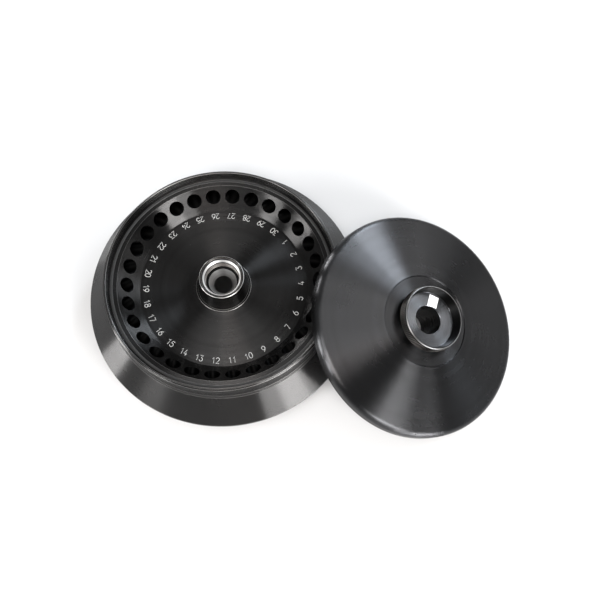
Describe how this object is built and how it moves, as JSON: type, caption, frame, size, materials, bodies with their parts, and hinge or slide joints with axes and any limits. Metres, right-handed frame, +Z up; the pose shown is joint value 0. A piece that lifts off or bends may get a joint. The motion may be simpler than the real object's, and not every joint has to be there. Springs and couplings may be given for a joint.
{
  "type": "fixed angle rotor",
  "caption": "Round black centrifuge rotor with a ring of angled tube holes round a threaded hub, and its conical lid with a knurled hand screw leaning against it.",
  "frame": {"origin": "on the spindle axis, in the plane that the rotor stands on", "axes": "+Z up along the spindle axis; the lid leans on the +X side"},
  "size_m": [0.3271, 0.2184, 0.0751],
  "materials": {
    "black_anodised": "turned, black anodised",
    "hub_black": "turned, black anodised",
    "lid_black": "fine turned, black anodised",
    "screw_black": "knurled and turned, black anodised",
    "bare_steel": "turned bright",
    "bush_steel": "turned grey",
    "screw_steel": "plain steel",
    "spring_steel": "phosphated spring steel",
    "black_rubber": "moulded",
    "white_plastic": "matt",
    "white_tab": "reflecting film"
  },
  "bodies": {
    "rotor": {"rotor_body": "black_anodised", "hub": "hub_black", "thread_sleeve": "bare_steel", "spindle_bush": "bush_steel", "rim_seal": "black_rubber", "drive_flange": "bush_steel", "flange_screws": "screw_steel", "drive_pins": "screw_steel", "lid_plate": "lid_black"},
    "screw": {"lid_screw": "screw_black", "slide_washer": "white_plastic", "retaining_ring": "spring_steel", "stub_seal": "black_rubber", "speed_mark": "white_tab"}
  },
  "joints": [
    {"name": "lid_screw_turn", "type": "hinge", "parent": "rotor", "child": "screw", "pos_m": [0.14297, -0.02961, 0.03372], "axis": [0.3952, -0.0818, 0.915], "continuous": true}
  ]
}
